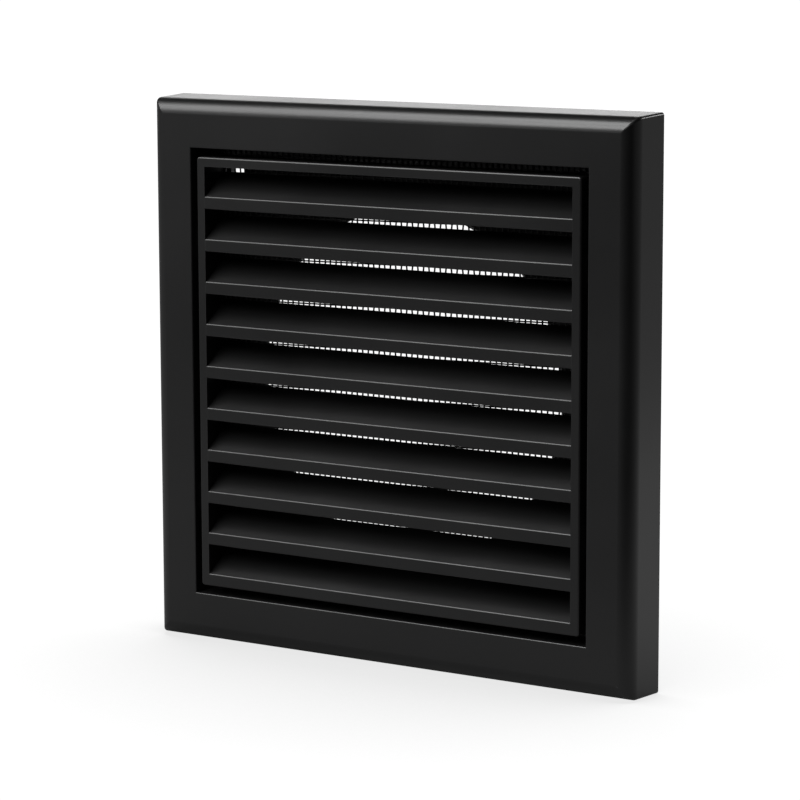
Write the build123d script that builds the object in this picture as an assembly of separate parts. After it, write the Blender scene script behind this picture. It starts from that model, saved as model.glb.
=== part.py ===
from build123d import *
import os

os.makedirs("parts", exist_ok=True)

# Louvred air grille for a 100 mm duct, in millimetres.
# X is to the right, Y runs from the room into the wall, Z is up.
# The origin is the centre of the duct hole on the wall face: the grille's back is at Y = 0
# and its front is at Y = -FRAME_DEPTH.

# ---- driving dimensions ----------------------------------------------------------------
FRAME_WIDTH = 154.0          # outside of the square surround, against the wall
FRAME_FRONT_WIDTH = 152.8    # the sides draw in towards the front, before the rounding
FRAME_DEPTH = 15.0           # from the wall to the front face
FRAME_ROUND = 4.2            # rounding of the front edges
FRAME_CORNER_ROUND = 0.8     # rounding of the four outer corners, seen from the front
FRAME_SKIN = 2.2             # thickness of the front face
FRAME_WALL = 2.0             # thickness of the return wall, and of the skirt at the wall
OPENING_WIDTH = 126.2        # square opening that holds the louvre panel
OPENING_EDGE_ROUND = 0.35

PLATE_THICKNESS = 2.3        # wall plate that closes the back
PLATE_CLEARANCE = 0.1
DUCT_HOLE_RADIUS = 48.0      # 96 mm hole in front of a 100 mm duct
DUCT_HOLE_EASE = 1.0         # bevel on the room side of the hole
FIXING_SPACING = 112.2       # square pattern of the four wall screws
FIXING_HOLE_RADIUS = 2.2

PANEL_WIDTH = 122.2          # louvre panel, leaving a shadow gap all round
PANEL_HEIGHT = 121.4
PANEL_DEPTH = 9.0
PANEL_CORNER_ROUND = 0.9
PANEL_EDGE_ROUND = 0.5
STILE_WIDTH = 2.65           # left, right and top bars
BOTTOM_RAIL_HEIGHT = 3.4

BLADE_COUNT = 9
BLADE_PITCH = 11.88
BLADE_RISE = 6.28            # the back edge is this much above the front edge
BLADE_NOSE_HEIGHT = 3.4      # upright front lip
BLADE_NOSE_THICKNESS = 1.6
BLADE_WEB_HEIGHT = 2.0       # upright thickness of the sloping web
BLADE_EDGE_ROUND = 0.45
BLADE_END_GAP = 0.02
TENON_LENGTH = 1.3
TENON_SHOULDER = 0.15        # step from the web down to the tenon
TENON_FRONT = 2.4            # how far behind the nose the tenon starts
TENON_CLEARANCE = 0.05

SCREEN_WIDTH = 125.4
SCREEN_THICKNESS = 0.6
RETAINER_THICKNESS = 1.2
SEAT_GAP = 0.05
SEAT_WIDTH = 1.5             # ledge inside the opening that the panel rests on

PEG_RADIUS = 0.7             # moulded pegs that hold the screen and its retainer
PEG_CLEARANCE = 0.05
PEG_HEAD_RADIUS = 1.2
PEG_HEAD_HEIGHT = 0.5
PEG_RAIL_SPACING = 45.0

CLIP_THICKNESS = 0.35        # spring clips in the side gaps
CLIP_LENGTH = 8.0
CLIP_OFFSET = 36.0           # above and below the middle
CLIP_FOOT = 1.9
CLIP_FOOT_BEND = 0.5
CLIP_SEAT = 2.6              # recess in the panel's side, longer than the foot
CLIP_REACH = 1.2             # how far the crest's corner stands past the opening's wall
CLIP_CREST_DEPTH = 5.3       # crest, behind the front face
CLIP_CREST_BEND = 0.7
CLIP_TIP_DEPTH = 3.9
CLIP_TIP_LIFT = 0.9          # the tip stands this far off the panel's side
CLIP_END_GAP = 0.1
DETENT_DEPTH = 0.8
DETENT_FRONT = 4.1
DETENT_BACK = 7.0
DETENT_LENGTH = 10.0
RIVET_RADIUS = 0.45
RIVET_HEIGHT = 0.45          # above the panel's side
RIVET_ROOT = 0.1             # into the panel, under the clip's seat

SCREW_SPACING = 140.6        # screws that hold the wall plate to the surround
SCREW_HEAD_RADIUS = 2.8
SCREW_SHANK_RADIUS = 1.25
SCREW_LENGTH = 9.0
SCREW_CLEARANCE_RADIUS = 1.7
SCREW_RECESS_WIDTH = 0.8
SCREW_RECESS_ARM = 1.3       # from the middle of the cross recess to the end of an arm
SCREW_RECESS_DEPTH = 1.1
PILOT_RADIUS = 1.3
BOSS_RADIUS = 3.7

RIB_THICKNESS = 1.2          # stiffening ribs inside the surround
RIB_HEIGHT = 7.0
RIB_SPACING = 34.0
RIBS_PER_SIDE = 3

# ---- working allowances ----------------------------------------------------------------
OVERLAP = 0.5                # how far joined shapes run into each other
PAST = 1.0                   # how far a cut runs past the surfaces it opens
NEAR = 0.01                  # tolerance when corners and edges are picked

# ---- derived dimensions ----------------------------------------------------------------
FRONT = -FRAME_DEPTH
BACK = 0.0
FRAME_HALF = FRAME_WIDTH / 2
FRAME_FRONT_HALF = FRAME_FRONT_WIDTH / 2
OPENING_HALF = OPENING_WIDTH / 2
PANEL_HALF = PANEL_WIDTH / 2
PANEL_TOP = PANEL_HEIGHT / 2
PANEL_BACK = FRONT + PANEL_DEPTH
LOUVRE_HALF = PANEL_HALF - STILE_WIDTH                # inside of the stiles
LOUVRE_TOP = PANEL_TOP - STILE_WIDTH                  # underside of the top bar
PLATE_FRONT = BACK - PLATE_THICKNESS
CHANNEL_INNER = OPENING_HALF + FRAME_WALL
CHANNEL_OUTER = FRAME_HALF - FRAME_WALL
CHANNEL_FRONT = FRONT + FRAME_SKIN
SCREEN_BACK = PANEL_BACK + SCREEN_THICKNESS
RETAINER_BACK = SCREEN_BACK + RETAINER_THICKNESS
SEAT_FRONT = RETAINER_BACK + SEAT_GAP
SLOPE_START = -PANEL_TOP + BOTTOM_RAIL_HEIGHT         # front edge of the lowest slope
STILE_CENTRE = PANEL_HALF - STILE_WIDTH / 2
RAIL_CENTRE = PANEL_TOP - STILE_WIDTH / 2
SLOPE = BLADE_RISE / PANEL_DEPTH


def box(x0, x1, y0, y1, z0, z1):
    """A box between two opposite corners."""
    centre = ((x0 + x1) / 2, (y0 + y1) / 2, (z0 + z1) / 2)
    return Pos(*centre) * Box(x1 - x0, y1 - y0, z1 - z0)


def square_bar(half, y0, y1):
    """A square block of the given half width, centred on the duct's axis."""
    return box(-half, half, y0, y1, -half, half)


def rod(x, z, radius, y0, y1):
    """A cylinder along Y."""
    return Pos(x, (y0 + y1) / 2, z) * Rot(90, 0, 0) * Cylinder(radius, y1 - y0)


def corners(spacing):
    """The four corners of a square pattern."""
    half = spacing / 2
    return [(x, z) for x in (-half, half) for z in (-half, half)]


def along_x(points, x0, x1, rounds=()):
    """A (Y, Z) outline extruded from x0 to x1; rounds lists (Y, Z, radius) for its corners."""
    face = Plane.YZ * make_face(Polyline(*points, close=True))
    for y, z, radius in rounds:
        corner = [v for v in face.vertices() if abs(v.Y - y) + abs(v.Z - z) < NEAR]
        face = fillet(corner, radius)
    return Pos(x0, 0, 0) * extrude(face, amount=x1 - x0, dir=(1, 0, 0))


def blade_front_edge(number):
    """Height of a blade's upper front edge; number 1 is the top blade."""
    return SLOPE_START + (BLADE_COUNT + 1 - number) * BLADE_PITCH


# ---- surround --------------------------------------------------------------------------
def rounded_block():
    """The surround's outside: two rounded slabs meet, which mitres the rounding at the corners."""
    outline = Polyline((BACK, -FRAME_HALF), (FRONT, -FRAME_FRONT_HALF), (FRONT, FRAME_FRONT_HALF),
                       (BACK, FRAME_HALF), close=True)
    section = Plane.YZ * make_face(outline)
    front_corners = section.vertices().group_by(Axis.Y)[0]
    upright = extrude(fillet(front_corners, FRAME_ROUND), amount=FRAME_HALF + PAST,
                      both=True)
    block = upright & (Rot(0, 90, 0) * upright)
    mitres = [e for e in block.edges()
              if e.length < FRAME_DEPTH and abs(abs(e.center().X) - abs(e.center().Z)) < NEAR]
    return fillet(mitres, FRAME_CORNER_ROUND)


def channel():
    """The hollow behind the front face, between the skirt and the return wall."""
    outer = square_bar(CHANNEL_OUTER, CHANNEL_FRONT, BACK + PAST)
    outer = fillet(outer.faces().sort_by(Axis.Y)[0].edges(), FRAME_ROUND - FRAME_WALL)
    return outer - square_bar(CHANNEL_INNER, CHANNEL_FRONT - PAST, BACK + 2 * PAST)


def side_rib(offset):
    """A rib across the channel at the top of the surround."""
    return box(offset - RIB_THICKNESS / 2, offset + RIB_THICKNESS / 2, CHANNEL_FRONT - OVERLAP,
               CHANNEL_FRONT + RIB_HEIGHT, CHANNEL_INNER - OVERLAP, CHANNEL_OUTER + OVERLAP)


def make_face_frame():
    frame = rounded_block()
    frame -= square_bar(OPENING_HALF, FRONT - PAST, SEAT_FRONT)
    frame -= square_bar(OPENING_HALF - SEAT_WIDTH, FRONT - PAST, BACK + PAST)
    rim = frame.faces().sort_by(Axis.Y)[0].inner_wires()[0].edges()
    frame = fillet(rim, OPENING_EDGE_ROUND)
    frame -= channel()
    frame -= square_bar(CHANNEL_OUTER, PLATE_FRONT, BACK + PAST)
    first = -(RIBS_PER_SIDE - 1) / 2
    for side in range(4):
        for step in range(RIBS_PER_SIDE):
            frame += Rot(0, 90 * side, 0) * side_rib((first + step) * RIB_SPACING)
    for x, z in corners(SCREW_SPACING):
        frame += rod(x, z, BOSS_RADIUS, CHANNEL_FRONT - OVERLAP, PLATE_FRONT)
        frame -= rod(x, z, PILOT_RADIUS, PLATE_FRONT - SCREW_LENGTH, PLATE_FRONT + PAST)
    for x_side in (-1, 1):
        for z in (-CLIP_OFFSET, CLIP_OFFSET):
            edges = sorted((x_side * (OPENING_HALF - PAST), x_side * (OPENING_HALF + DETENT_DEPTH)))
            frame -= box(*edges, FRONT + DETENT_FRONT, FRONT + DETENT_BACK,
                         z - DETENT_LENGTH / 2, z + DETENT_LENGTH / 2)
    return frame


# ---- wall plate and its screws ---------------------------------------------------------
def countersunk(x, z, shank_radius, length):
    """The outline of a countersunk screw driven from the back; also cuts its hole."""
    head = Pos(x, BACK - (SCREW_HEAD_RADIUS - shank_radius) / 2, z) * Rot(90, 0, 0) * Cone(
        SCREW_HEAD_RADIUS, shank_radius, SCREW_HEAD_RADIUS - shank_radius)
    return head + rod(x, z, shank_radius, BACK - length, BACK - OVERLAP)


def make_wall_plate():
    plate = square_bar(CHANNEL_OUTER - PLATE_CLEARANCE, PLATE_FRONT, BACK)
    plate -= rod(0, 0, DUCT_HOLE_RADIUS, PLATE_FRONT - PAST, BACK + PAST)
    plate = chamfer(plate.faces().sort_by(Axis.Y)[0].inner_wires()[0].edges(), DUCT_HOLE_EASE)
    for x, z in corners(FIXING_SPACING):
        plate -= rod(x, z, FIXING_HOLE_RADIUS, PLATE_FRONT - PAST, BACK + PAST)
    for x, z in corners(SCREW_SPACING):
        plate -= countersunk(x, z, SCREW_CLEARANCE_RADIUS, PLATE_THICKNESS + PAST)
    return plate


def make_frame_screws():
    screws = []
    for x, z in corners(SCREW_SPACING):
        screw = countersunk(x, z, SCREW_SHANK_RADIUS, SCREW_LENGTH)
        half = SCREW_RECESS_WIDTH / 2
        arm = SCREW_RECESS_ARM
        screw -= box(x - arm, x + arm, BACK - SCREW_RECESS_DEPTH, BACK + PAST, z - half, z + half)
        screw -= box(x - half, x + half, BACK - SCREW_RECESS_DEPTH, BACK + PAST, z - arm, z + arm)
        screws.append(screw)
    return Compound(children=screws)


# ---- louvre panel ----------------------------------------------------------------------
def slope_outline(top, y_front, inset):
    """The sloping web of a blade whose front edge is at height top, from y_front backwards."""
    z_front = top + SLOPE * (y_front - FRONT)
    z_back = top + BLADE_RISE
    return [(y_front, z_front - inset), (PANEL_BACK, z_back - inset),
            (PANEL_BACK, z_back - BLADE_WEB_HEIGHT + inset),
            (y_front, z_front - BLADE_WEB_HEIGHT + inset)]


def make_blade(number):
    top = blade_front_edge(number)
    bottom = top - BLADE_NOSE_HEIGHT
    nose_back = FRONT + BLADE_NOSE_THICKNESS
    web_back = top + BLADE_RISE
    under_nose = top + SLOPE * BLADE_NOSE_THICKNESS - BLADE_WEB_HEIGHT
    outline = [(FRONT, top), (PANEL_BACK, web_back), (PANEL_BACK, web_back - BLADE_WEB_HEIGHT),
               (nose_back, under_nose), (nose_back, bottom), (FRONT, bottom)]
    rounds = [(FRONT, top, BLADE_EDGE_ROUND), (FRONT, bottom, BLADE_EDGE_ROUND),
              (nose_back, bottom, BLADE_EDGE_ROUND), (nose_back, under_nose, BLADE_EDGE_ROUND)]
    half = LOUVRE_HALF - BLADE_END_GAP
    blade = along_x(outline, -half, half, rounds)
    tenon = slope_outline(top, FRONT + TENON_FRONT, TENON_SHOULDER)
    return blade + along_x(tenon, -half - TENON_LENGTH, half + TENON_LENGTH)


def pegs():
    """Where the moulded pegs stand on the panel's back, clear of the blades' channels."""
    between = SLOPE_START + BLADE_RISE - BLADE_WEB_HEIGHT / 2 - BLADE_PITCH / 2
    places = [(x, z) for x in (-PEG_RAIL_SPACING, 0, PEG_RAIL_SPACING)
              for z in (-RAIL_CENTRE, RAIL_CENTRE)]
    places += [(x, between + step * BLADE_PITCH) for x in (-STILE_CENTRE, STILE_CENTRE)
               for step in (3, 7)]
    return places


def clip_places():
    return [("upper_left", -1, CLIP_OFFSET), ("upper_right", 1, CLIP_OFFSET),
            ("lower_left", -1, -CLIP_OFFSET), ("lower_right", 1, -CLIP_OFFSET)]


def make_louvre_frame():
    outline = Plane.XZ * RectangleRounded(PANEL_WIDTH, PANEL_HEIGHT, PANEL_CORNER_ROUND)
    bars = Pos(0, FRONT, 0) * extrude(outline, amount=PANEL_DEPTH, dir=(0, 1, 0))
    bars = fillet(bars.faces().sort_by(Axis.Y)[0].edges(), PANEL_EDGE_ROUND)
    bars -= box(-LOUVRE_HALF, LOUVRE_HALF, FRONT - PAST, PANEL_BACK + PAST,
                -LOUVRE_TOP, LOUVRE_TOP)
    # The bottom rail carries a slope like the blades' and is hollow behind it.
    web_meets_rail = FRONT + (-LOUVRE_TOP - SLOPE_START + BLADE_WEB_HEIGHT) / SLOPE
    rail = [(FRONT, -PANEL_TOP + PANEL_CORNER_ROUND), (FRONT, SLOPE_START),
            (PANEL_BACK, SLOPE_START + BLADE_RISE),
            (PANEL_BACK, SLOPE_START + BLADE_RISE - BLADE_WEB_HEIGHT),
            (web_meets_rail, -LOUVRE_TOP), (PANEL_BACK, -LOUVRE_TOP),
            (PANEL_BACK, -PANEL_TOP + PANEL_CORNER_ROUND)]
    bars += along_x(rail, -LOUVRE_HALF, LOUVRE_HALF, [(FRONT, SLOPE_START, BLADE_EDGE_ROUND)])
    # Blades slide into these channels from behind, before the screen closes the back.
    reach = LOUVRE_HALF + TENON_LENGTH + TENON_CLEARANCE
    inset = TENON_SHOULDER - TENON_CLEARANCE
    for number in range(1, BLADE_COUNT + 1):
        top = blade_front_edge(number)
        slot = slope_outline(top, FRONT + TENON_FRONT - TENON_CLEARANCE, inset)
        bars -= along_x(slot, -reach, -LOUVRE_HALF + PAST)
        bars -= along_x(slot, LOUVRE_HALF - PAST, reach)
    # Clip seats in the outer sides, each with a rivet peg.
    for _, side, z in clip_places():
        seat = sorted((side * (PANEL_HALF - CLIP_THICKNESS), side * (PANEL_HALF + PAST)))
        bars -= box(*seat, PANEL_BACK - CLIP_SEAT, PANEL_BACK + PAST,
                    z - CLIP_LENGTH / 2, z + CLIP_LENGTH / 2)
        bars += rivet(side, z, RIVET_RADIUS)
    for x, z in pegs():
        bars += rod(x, z, PEG_RADIUS, PANEL_BACK - OVERLAP, RETAINER_BACK + PEG_HEAD_HEIGHT / 2)
        bars += rod(x, z, PEG_HEAD_RADIUS, RETAINER_BACK, RETAINER_BACK + PEG_HEAD_HEIGHT)
    return bars


def rivet(side, z, radius):
    """A short peg across a clip's foot, along X."""
    inner = PANEL_HALF - CLIP_THICKNESS - RIVET_ROOT
    outer = PANEL_HALF + RIVET_HEIGHT
    place = Pos(side * (inner + outer) / 2, PANEL_BACK - CLIP_FOOT / 2, z)
    return place * Rot(0, 90, 0) * Cylinder(radius, outer - inner)


def make_clip(side, z):
    """A leaf spring: a flat foot, a crest that springs into the detent, and a tip that clears."""
    foot_x = PANEL_HALF - CLIP_THICKNESS / 2
    centre_line = FilletPolyline(
        (foot_x, PANEL_BACK - CLIP_END_GAP), (foot_x, PANEL_BACK - CLIP_FOOT + CLIP_END_GAP),
        (OPENING_HALF + CLIP_REACH, FRONT + CLIP_CREST_DEPTH),
        (PANEL_HALF + CLIP_TIP_LIFT, FRONT + CLIP_TIP_DEPTH),
        radius=(CLIP_FOOT_BEND, CLIP_CREST_BEND))
    clip = extrude(trace(centre_line, CLIP_THICKNESS), amount=CLIP_LENGTH / 2, both=True)
    if side < 0:
        clip = mirror(clip, about=Plane.YZ)
    return Pos(0, 0, z) * clip - rivet(side, z, RIVET_RADIUS + PEG_CLEARANCE)


# ---- fly screen and its retainer -------------------------------------------------------
def with_peg_holes(shape):
    for x, z in pegs():
        shape -= rod(x, z, PEG_RADIUS + PEG_CLEARANCE, PANEL_BACK - PAST, RETAINER_BACK + PAST)
    return shape


def make_fly_screen():
    """The screen as a plain sheet of its real size and thickness."""
    return with_peg_holes(square_bar(SCREEN_WIDTH / 2, PANEL_BACK, SCREEN_BACK))


def make_screen_retainer():
    ring = square_bar(SCREEN_WIDTH / 2, SCREEN_BACK, RETAINER_BACK)
    ring -= box(-LOUVRE_HALF, LOUVRE_HALF, SCREEN_BACK - PAST, RETAINER_BACK + PAST,
                -LOUVRE_TOP, LOUVRE_TOP)
    return with_peg_holes(ring)


# ---- one STEP for each sub-part --------------------------------------------------------
export_step(make_face_frame(), "parts/face_frame.step")
export_step(make_wall_plate(), "parts/wall_plate.step")
export_step(make_frame_screws(), "parts/frame_screws.step")
export_step(make_louvre_frame(), "parts/louvre_frame.step")
for blade_number in range(1, BLADE_COUNT + 1):
    export_step(make_blade(blade_number), f"parts/louvre_blade_{blade_number}.step")
for clip_name, clip_side, clip_z in clip_places():
    export_step(make_clip(clip_side, clip_z), f"parts/clip_{clip_name}.step")
export_step(make_fly_screen(), "parts/fly_screen.step")
export_step(make_screen_retainer(), "parts/screen_retainer.step")
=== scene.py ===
import math

import bmesh
import bpy
from mathutils import Matrix, Vector


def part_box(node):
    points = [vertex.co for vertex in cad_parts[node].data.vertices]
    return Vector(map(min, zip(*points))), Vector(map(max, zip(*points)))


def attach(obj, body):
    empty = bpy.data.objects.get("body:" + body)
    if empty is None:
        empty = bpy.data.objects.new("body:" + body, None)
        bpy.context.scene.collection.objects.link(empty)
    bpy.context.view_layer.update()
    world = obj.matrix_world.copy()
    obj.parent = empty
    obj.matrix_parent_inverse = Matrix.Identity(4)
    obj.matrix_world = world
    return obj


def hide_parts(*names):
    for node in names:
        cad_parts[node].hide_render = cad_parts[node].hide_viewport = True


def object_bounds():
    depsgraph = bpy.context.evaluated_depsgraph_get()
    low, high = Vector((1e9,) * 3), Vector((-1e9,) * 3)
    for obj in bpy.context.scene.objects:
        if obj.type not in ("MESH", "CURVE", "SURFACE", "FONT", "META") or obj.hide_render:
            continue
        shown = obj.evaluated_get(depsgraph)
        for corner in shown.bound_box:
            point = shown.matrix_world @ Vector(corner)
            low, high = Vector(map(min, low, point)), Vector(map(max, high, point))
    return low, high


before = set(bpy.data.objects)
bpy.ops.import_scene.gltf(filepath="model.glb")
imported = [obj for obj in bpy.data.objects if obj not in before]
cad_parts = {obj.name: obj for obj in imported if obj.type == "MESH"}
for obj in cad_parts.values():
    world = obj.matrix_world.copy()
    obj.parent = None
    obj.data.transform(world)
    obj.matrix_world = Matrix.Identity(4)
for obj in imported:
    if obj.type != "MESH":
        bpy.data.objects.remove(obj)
cad_low, cad_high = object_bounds()

MM = 0.001


# ---- small helpers ---------------------------------------------------------------------
def node_material(name):
    """A new material with only its output node; returns (material, nodes, link function, output)."""
    material = bpy.data.materials.new(name)
    material.use_nodes = True
    tree = material.node_tree
    tree.nodes.clear()
    output = tree.nodes.new("ShaderNodeOutputMaterial")
    return material, tree.nodes, tree.links.new, output


def new_object(name, mesh):
    """A new object with this mesh, in the scene."""
    piece = bpy.data.objects.new(name, mesh)
    bpy.context.scene.collection.objects.link(piece)
    return piece


def outward(azimuth, elevation):
    """Away from the object: degrees from the front towards its right, and degrees up."""
    turn, lift = math.radians(azimuth), math.radians(elevation)
    return Vector((math.sin(turn) * math.cos(lift), -math.cos(turn) * math.cos(lift),
                   math.sin(lift)))


def noise(nodes, link, place, scale, detail, roughness=0.5):
    """A noise value at each place; the scale is in features per metre."""
    texture = nodes.new("ShaderNodeTexNoise")
    texture.inputs["Scale"].default_value = scale
    texture.inputs["Detail"].default_value = detail
    texture.inputs["Roughness"].default_value = roughness
    link(place, texture.inputs["Vector"])
    return texture.outputs["Fac"]


def remap(nodes, link, value, source, target=(0.0, 1.0), smooth=False):
    """Carries a value from one range over to another, and holds it at the ends."""
    node = nodes.new("ShaderNodeMapRange")
    if smooth:
        node.interpolation_type = "SMOOTHSTEP"
    for end, given, wanted in zip(("Min", "Max"), source, target):
        node.inputs["From " + end].default_value = given
        node.inputs["To " + end].default_value = wanted
    link(value, node.inputs["Value"])
    return node.outputs["Result"]


def maths(nodes, link, operation, first, second):
    """An arithmetic operation on two values."""
    node = nodes.new("ShaderNodeMath")
    node.operation = operation
    link(first, node.inputs[0])
    link(second, node.inputs[1])
    return node.outputs["Value"]


# ---- materials -------------------------------------------------------------------------
WEAR_WIDTH = 0.4 * MM
WEAR_SAMPLES = 4
WEAR_TURN = (0.995, 0.8)         # cosine of the turn at an edge: where wear starts, and is full
WEAR_PATCHES = 120.0             # per metre
WEAR_PATCH_DETAIL = 3.0
WEAR_PATCH_NOISE = (0.35, 0.65)
WEAR_PATCH_LEVELS = (0.4, 1.0)
RUBBED = 1.6                     # how much paler black plastic is where it is rubbed
RUBBED_DULLER = 0.08             # and how much rougher

FLOW_SCALE = 22.0                # slow changes of colour and gloss, per metre
FLOW_DETAIL = 4.0
FLOW_NOISE = (0.3, 0.7)
GRAIN_DETAIL = 2.0
GRAIN_ROUGHNESS = 0.6

STREAK_SCALE = 1000.0            # a metal's grain, per metre
STREAK_DETAIL = 3.0
STREAK_DEPTH = 0.01 * MM


def worn_edges(nodes, link, place):
    """An output that is 0 on flat faces and up to 1, in patches, along edges."""
    rounded = nodes.new("ShaderNodeBevel")
    rounded.samples = WEAR_SAMPLES
    rounded.inputs["Radius"].default_value = WEAR_WIDTH
    true_shape = nodes.new("ShaderNodeNewGeometry")
    turned = nodes.new("ShaderNodeVectorMath")
    turned.operation = "DOT_PRODUCT"
    link(rounded.outputs["Normal"], turned.inputs[0])
    link(true_shape.outputs["True Normal"], turned.inputs[1])
    edge = remap(nodes, link, turned.outputs["Value"], WEAR_TURN)
    rubbing = noise(nodes, link, place, WEAR_PATCHES, WEAR_PATCH_DETAIL)
    patches = remap(nodes, link, rubbing, WEAR_PATCH_NOISE, WEAR_PATCH_LEVELS)
    return maths(nodes, link, "MULTIPLY", edge, patches)


def between(nodes, link, factor, dark, light):
    """A colour that varies between two."""
    colour = nodes.new("ShaderNodeMix")
    colour.data_type = "RGBA"
    colour.inputs["A"].default_value = (*dark, 1)
    colour.inputs["B"].default_value = (*light, 1)
    link(factor, colour.inputs["Factor"])
    return colour.outputs["Result"]


def with_wear(nodes, link, wear, fresh, rubbed, data_type):
    """A varied fresh colour ("RGBA") or roughness ("FLOAT"), and the rubbed one at worn edges."""
    mixed = nodes.new("ShaderNodeMix")
    mixed.data_type = data_type
    mixed.inputs["B"].default_value = rubbed
    link(wear, mixed.inputs["Factor"])
    link(fresh, mixed.inputs["A"])
    return mixed.outputs["Result"]


def moulded_plastic(name, dark, light, rough, grain_size, grain_depth, specular):
    """Black moulded plastic: a fine grain, slow changes of colour and gloss, and rubbed edges."""
    material, nodes, link, output = node_material(name)
    shader = nodes.new("ShaderNodeBsdfPrincipled")
    shader.inputs["Specular IOR Level"].default_value = specular
    place = nodes.new("ShaderNodeTexCoord").outputs["Object"]
    flow = noise(nodes, link, place, FLOW_SCALE, FLOW_DETAIL)
    grain = noise(nodes, link, place, 1.0 / grain_size, GRAIN_DETAIL, GRAIN_ROUGHNESS)
    wear = worn_edges(nodes, link, place)

    colour = between(nodes, link, flow, dark, light)
    rubbed = (*(RUBBED * value for value in light), 1)
    link(with_wear(nodes, link, wear, colour, rubbed, "RGBA"), shader.inputs["Base Color"])

    gloss = remap(nodes, link, flow, FLOW_NOISE, rough)
    dull = rough[1] + RUBBED_DULLER
    link(with_wear(nodes, link, wear, gloss, dull, "FLOAT"), shader.inputs["Roughness"])

    bump = nodes.new("ShaderNodeBump")
    bump.inputs["Strength"].default_value = 1.0
    bump.inputs["Distance"].default_value = grain_depth
    link(grain, bump.inputs["Height"])
    link(bump.outputs["Normal"], shader.inputs["Normal"])
    link(shader.outputs["BSDF"], output.inputs["Surface"])
    return material


def metal(name, dark, light, rough, grain_per_axis):
    """Plated or rolled steel with a fine grain, closer together along an axis of higher scale."""
    material, nodes, link, output = node_material(name)
    shader = nodes.new("ShaderNodeBsdfPrincipled")
    shader.inputs["Metallic"].default_value = 1.0
    place = nodes.new("ShaderNodeTexCoord").outputs["Object"]
    stretch = nodes.new("ShaderNodeMapping")
    stretch.inputs["Scale"].default_value = grain_per_axis
    link(place, stretch.inputs["Vector"])
    streaks = noise(nodes, link, stretch.outputs["Vector"], STREAK_SCALE, STREAK_DETAIL)
    wear = worn_edges(nodes, link, place)

    colour = between(nodes, link, streaks, dark, light)
    link(with_wear(nodes, link, wear, colour, (*light, 1), "RGBA"), shader.inputs["Base Color"])

    gloss = remap(nodes, link, streaks, (0.0, 1.0), rough)
    link(with_wear(nodes, link, wear, gloss, rough[0], "FLOAT"), shader.inputs["Roughness"])

    bump = nodes.new("ShaderNodeBump")
    bump.inputs["Distance"].default_value = STREAK_DEPTH
    link(streaks, bump.inputs["Height"])
    link(bump.outputs["Normal"], shader.inputs["Normal"])
    link(shader.outputs["BSDF"], output.inputs["Surface"])
    return material


SATIN = moulded_plastic("satin_black", dark=(0.0045, 0.0045, 0.0046),
                        light=(0.0065, 0.0065, 0.0066), rough=(0.28, 0.34),
                        grain_size=0.22 * MM, grain_depth=0.003 * MM, specular=0.5)
MATT = moulded_plastic("matt_black", dark=(0.005, 0.005, 0.0051),
                       light=(0.008, 0.008, 0.0081), rough=(0.42, 0.52),
                       grain_size=0.3 * MM, grain_depth=0.006 * MM, specular=0.45)
SCREEN = moulded_plastic("screen_coating", dark=(0.006, 0.006, 0.006),
                         light=(0.011, 0.011, 0.011), rough=(0.45, 0.6),
                         grain_size=0.15 * MM, grain_depth=0.01 * MM, specular=0.5)
ZINC = metal("zinc_plate", dark=(0.42, 0.42, 0.44), light=(0.66, 0.66, 0.68),
             rough=(0.25, 0.45), grain_per_axis=(1, 1, 1))
SPRING = metal("spring_strip", dark=(0.3, 0.3, 0.31), light=(0.45, 0.45, 0.46),
               rough=(0.2, 0.38), grain_per_axis=(1, 1, 8))

NODE_MATERIALS = {"face_frame": SATIN, "wall_plate": MATT, "louvre_frame": SATIN,
                  "screen_retainer": MATT, "frame_screws": ZINC}


def dress(node, material):
    """Gives a CAD node's object one material."""
    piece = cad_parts[node]
    piece.data.materials.clear()
    piece.data.materials.append(material)


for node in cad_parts:
    if node.startswith("louvre_blade"):
        dress(node, SATIN)
    elif node.startswith("clip"):
        dress(node, SPRING)
    elif node in NODE_MATERIALS:
        dress(node, NODE_MATERIALS[node])


# ---- fly screen ------------------------------------------------------------------------
# Each pair is for the upright strands, then the level ones.
SCREEN_PITCH = (1.772 * MM, 1.686 * MM)
SCREEN_LEAN = (0.0072, 0.0253)       # how far the strands stray from square, in radians
SCREEN_FAN = (0.0, -0.142)           # and how much more of it per metre across the sheet
SCREEN_SHIFT = (0.0, 0.667)          # in pitches, from the middle of the sheet
STRAND_WIDTH = (0.56 * MM, 0.42 * MM)
STRAND_THICKNESS = 0.28 * MM
STRAND_SIDES = 6


def weave():
    """A plain weave: each strand passes over and under the strands that cross it."""
    low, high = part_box("fly_screen")
    centre = (low + high) / 2
    half = (high.x - low.x) / 2
    swing = ((high.y - low.y) - STRAND_THICKNESS) / 2
    families = [strand_lines(family, half) for family in (0, 1)]
    work = bmesh.new()
    for family, lines in enumerate(families):
        width = STRAND_WIDTH[family]
        for number, start, along in lines:
            ends = span(start, along, half - width / 2)
            path = strand_path(start, along, ends, number + family, families[1 - family], swing)
            if path:
                strand(work, centre + start, along, path, width)
    mesh = bpy.data.meshes.new("fly_screen_weave")
    work.to_mesh(mesh)
    work.free()
    mesh.shade_smooth()
    return new_object("fly_screen_weave", mesh)


def strand_lines(family, half):
    """One family of strands: a number, a place and a direction for each."""
    lines = []
    count = math.ceil(half / SCREEN_PITCH[family]) + 1
    for number in range(-count, count + 1):
        place = (number + SCREEN_SHIFT[family]) * SCREEN_PITCH[family]
        lean = SCREEN_LEAN[family] + SCREEN_FAN[family] * place
        if family == 0:
            lines.append((number, Vector((place, 0, 0)), Vector((lean, 0, 1))))
        else:
            lines.append((number, Vector((0, 0, place)), Vector((1, 0, lean))))
    return lines


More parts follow.
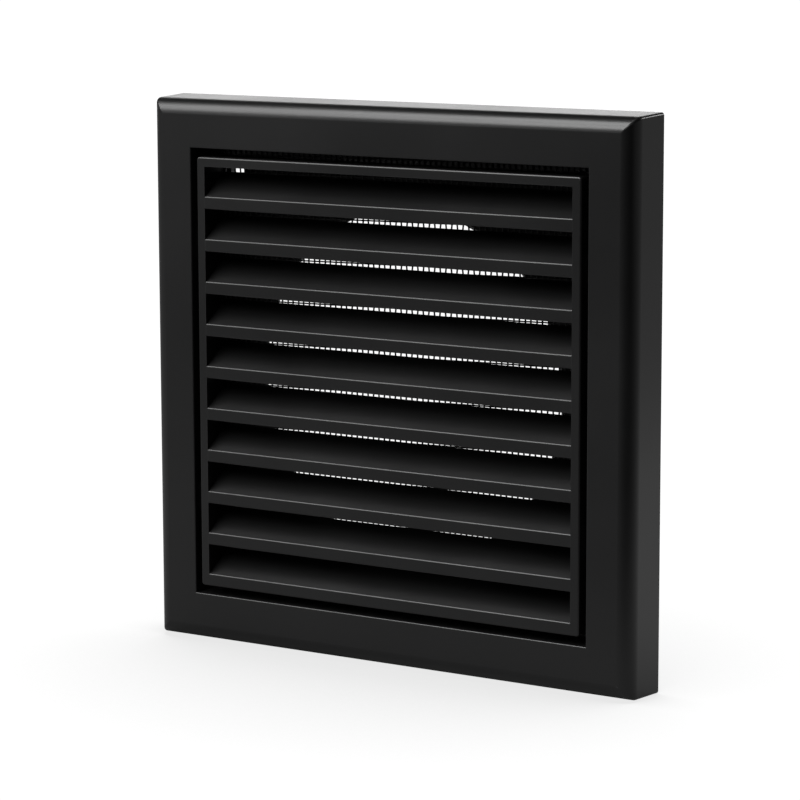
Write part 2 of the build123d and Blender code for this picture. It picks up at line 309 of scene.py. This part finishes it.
def span(start, along, reach):
    """How far along a strand enters and leaves the square sheet."""
    first, last = -math.inf, math.inf
    for axis in (0, 2):
        ends = sorted((sign * reach - start[axis]) / along[axis] for sign in (-1, 1))
        first, last = max(first, ends[0]), min(last, ends[1])
    return first, last


def turn_between(a, b):
    """The cross product of two directions in the sheet."""
    return a.x * b.z - a.z * b.x


def strand_path(start, along, ends, parity, others, swing):
    """Distance along a strand and height: peaks at the crossings, level halfway between.

    A crossing nearer to an end of the strand than its thickness is left out.
    """
    first, last = ends
    crossings = [(turn_between(other - start, direction) / turn_between(along, direction),
                  swing if (number + parity) % 2 else -swing)
                 for number, other, direction in others]
    crossings = sorted(crossing for crossing in crossings
                       if first + STRAND_THICKNESS < crossing[0] < last - STRAND_THICKNESS)
    if not crossings:
        return []
    path = [(first, 0)]
    for crossing, following in zip(crossings, crossings[1:]):
        path += [crossing, ((crossing[0] + following[0]) / 2, 0)]
    return path + [crossings[-1], (last, 0)]


def strand(work, start, along, path, width):
    """One strand of flattened section along its path."""
    across = Vector((along.z, 0, -along.x))
    rings = []
    for distance, height in path:
        middle = start + along * distance + Vector((0, height, 0))
        ring = []
        for corner in range(STRAND_SIDES):
            turn = 2 * math.pi * corner / STRAND_SIDES
            aside = across * (width / 2 * math.cos(turn))
            deep = Vector((0, STRAND_THICKNESS / 2 * math.sin(turn), 0))
            ring.append(work.verts.new(middle + aside + deep))
        rings.append(ring)
    for a, b in zip(rings, rings[1:]):
        for i in range(STRAND_SIDES):
            j = (i + 1) % STRAND_SIDES
            work.faces.new((a[i], a[j], b[j], b[i]))
    work.faces.new(rings[0][::-1])
    work.faces.new(rings[-1])


screen = weave()
screen.data.materials.append(SCREEN)
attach(screen, "louvre_panel")
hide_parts("fly_screen")


# ---- studio ----------------------------------------------------------------------------
FLOOR_HALF = 30.0
FLOOR_WHITE = 1.06               # overexposed paper, as the camera sees it
FLOOR_SHADE = 0.80               # the paper's painted shadow around the object, at its darkest
FLOOR_OPEN = 0.5                 # how open to the light the paper is where its painted shadow is darkest
# how far the object's painted shadow reaches across the paper
FLOOR_SHADOW_REACH = 0.16
# What the object reflects of the same paper, with painted light: sides that glow brighter over
# a distance, as (direction, (start, end), level), and painted pools of light, as (middle, level).
PAINTED_LIGHT_SIDES = [((-0.94, 0.34, 0), (0.0, 0.35), 0.23),
               ((0.54, 0.84, 0), (0.15, 0.7), 0.28)]
PAINTED_LIGHT_PATCHES = [((0.18, 0.17), 0.54), ((-0.16, -0.16), 0.28)]
PAINTED_LIGHT_FADE = (0.06, 0.4)         # distances from a painted pool of light's middle
# how far the painted shade near the object reaches, dimming the painted light
PAINTED_SHADE_REACH = 0.06
WHITE = (1, 1, 1, 1)
ROOM = 0.02                      # what reflections see of the room
AMBIENT = 0.04                   # and how much it lights matt surfaces

# Name, azimuth and elevation in degrees, distance, (width, height), radiance.
SOFTBOXES = [("key_low", 320, 14, 1.8, (1.0, 0.5), 1.1),
             ("key_middle", 310, 34, 1.8, (1.3, 0.6), 5.2),
             ("key_high", 325, 56, 1.8, (1.3, 0.7), 7.0),
             ("key_front", 345, 34, 1.8, (0.9, 0.7), 6.9),
             ("overhead", 300, 80, 1.8, (1.2, 1.2), 0.4),
             ("back_low", 212, 6, 2.6, (2.6, 0.55), 2.5),
             ("back_high", 212, 20, 2.6, (2.0, 0.6), 1.2),
             ("back_right", 152, 20, 2.6, (0.8, 0.5), 8.0)]


def shade(nodes, reach):
    """How open to the light a place is, from 0 to 1."""
    node = nodes.new("ShaderNodeAmbientOcclusion")
    node.inputs["Distance"].default_value = reach
    return node.outputs["AO"]


def painted_light_patch(nodes, link, place, middle, level):
    """A painted round pool of light on the paper, which fades out with distance."""
    distance = nodes.new("ShaderNodeVectorMath")
    distance.operation = "DISTANCE"
    distance.inputs[1].default_value = (*middle, cad_low[2])
    link(place, distance.inputs[0])
    return remap(nodes, link, distance.outputs["Value"], PAINTED_LIGHT_FADE, (level, 0.0), smooth=True)


def painted_light_side(nodes, link, place, direction, distances, level):
    """Painted light: paper that glows brighter in one direction."""
    reach = nodes.new("ShaderNodeVectorMath")
    reach.operation = "DOT_PRODUCT"
    reach.inputs[1].default_value = direction
    link(place, reach.inputs[0])
    return remap(nodes, link, reach.outputs["Value"], distances, (0.0, level), smooth=True)


def glow(nodes, link, strength):
    """A surface that gives off white light of a varied strength."""
    emission = nodes.new("ShaderNodeEmission")
    link(strength, emission.inputs["Strength"])
    return emission.outputs["Emission"]


def floor_paper():
    """White paper with a painted soft shadow to the camera; reflections see painted uneven light on
    it, with painted shade near the object.
    """
    material, nodes, link, output = node_material("floor_paper")
    place = nodes.new("ShaderNodeTexCoord").outputs["Object"]
    terms = [painted_light_side(nodes, link, place, *setting) for setting in PAINTED_LIGHT_SIDES]
    terms += [painted_light_patch(nodes, link, place, *setting) for setting in PAINTED_LIGHT_PATCHES]
    total = terms[0]
    for term in terms[1:]:
        total = maths(nodes, link, "ADD", total, term)
    # painted light on the paper, dimmed by painted shade near the object
    painted_light = maths(nodes, link, "MULTIPLY", total, shade(nodes, PAINTED_SHADE_REACH))
    # the paper as the camera sees it, with the object's soft shadow painted in from how open each
    # place is
    seen = remap(nodes, link, shade(nodes, FLOOR_SHADOW_REACH), (FLOOR_OPEN, 1.0),
                 (FLOOR_SHADE, FLOOR_WHITE))

    path = nodes.new("ShaderNodeLightPath")
    choose = nodes.new("ShaderNodeMixShader")
    link(path.outputs["Is Camera Ray"], choose.inputs[0])
    link(glow(nodes, link, painted_light), choose.inputs[1])
    link(glow(nodes, link, seen), choose.inputs[2])
    link(choose.outputs["Shader"], output.inputs["Surface"])
    return material


def make_floor():
    """A large sheet of paper under the object."""
    z = cad_low[2]
    mesh = bpy.data.meshes.new("floor")
    mesh.from_pydata([(-FLOOR_HALF, -FLOOR_HALF, z), (FLOOR_HALF, -FLOOR_HALF, z),
                      (FLOOR_HALF, FLOOR_HALF, z), (-FLOOR_HALF, FLOOR_HALF, z)],
                     [], [(0, 1, 2, 3)])
    mesh.materials.append(floor_paper())
    new_object("floor", mesh)


def softbox(name, azimuth, elevation, distance, size, radiance):
    """A rectangular light that faces the object."""
    light = bpy.data.lights.new(name, "AREA")
    light.shape = "RECTANGLE"
    light.size, light.size_y = size
    light.energy = radiance * math.pi * size[0] * size[1]
    lamp = bpy.data.objects.new(name, light)
    away = outward(azimuth, elevation)
    lamp.location = away * distance
    lamp.rotation_euler = (-away).to_track_quat("-Z", "Y").to_euler()
    lamp.visible_camera = False
    bpy.context.scene.collection.objects.link(lamp)


def make_world():
    """White paper to the camera, and a dark room around the object."""
    world = bpy.data.worlds.new("studio")
    world.use_nodes = True
    nodes = world.node_tree.nodes
    link = world.node_tree.links.new
    room = nodes["Background"]
    room.name = "room"
    ambient = nodes.new("ShaderNodeBackground")
    ambient.name = "ambient"
    paper = nodes.new("ShaderNodeBackground")
    for background, level in ((room, ROOM), (ambient, AMBIENT), (paper, FLOOR_WHITE)):
        background.inputs["Color"].default_value = WHITE
        background.inputs["Strength"].default_value = level
    path = nodes.new("ShaderNodeLightPath")
    matt = nodes.new("ShaderNodeMixShader")
    seen = nodes.new("ShaderNodeMixShader")
    link(path.outputs["Is Diffuse Ray"], matt.inputs[0])
    link(room.outputs["Background"], matt.inputs[1])
    link(ambient.outputs["Background"], matt.inputs[2])
    link(path.outputs["Is Camera Ray"], seen.inputs[0])
    link(matt.outputs["Shader"], seen.inputs[1])
    link(paper.outputs["Background"], seen.inputs[2])
    link(seen.outputs["Shader"], nodes["World Output"].inputs["Surface"])
    bpy.context.scene.world = world


CAMERA_AZIMUTH = 32.4            # degrees from the front towards the object's right
CAMERA_ELEVATION = 9.15
CAMERA_ROLL = -0.15
CAMERA_DISTANCE = 0.866
CAMERA_LENS = 144.6
CAMERA_SENSOR = 36.0
AIM_OFFSET = Vector((0.0056, 0, -0.00206))    # from the middle of the front face


def make_camera():
    """The camera, aimed a little off the middle of the object's front face."""
    front_middle = Vector(((cad_low[0] + cad_high[0]) / 2, cad_low[1],
                           (cad_low[2] + cad_high[2]) / 2))
    away = outward(CAMERA_AZIMUTH, CAMERA_ELEVATION)
    camera = bpy.data.objects.new("camera", bpy.data.cameras.new("camera"))
    camera.data.lens = CAMERA_LENS
    camera.data.sensor_width = CAMERA_SENSOR
    turn = (-away).to_track_quat("-Z", "Y").to_matrix().to_4x4()
    place = Matrix.Translation(front_middle + AIM_OFFSET + away * CAMERA_DISTANCE)
    camera.matrix_world = place @ turn @ Matrix.Rotation(math.radians(CAMERA_ROLL), 4, "Z")
    bpy.context.scene.collection.objects.link(camera)
    bpy.context.scene.camera = camera


make_floor()
for setting in SOFTBOXES:
    softbox(*setting)
make_world()
make_camera()
bpy.context.scene.view_settings.view_transform = "Standard"
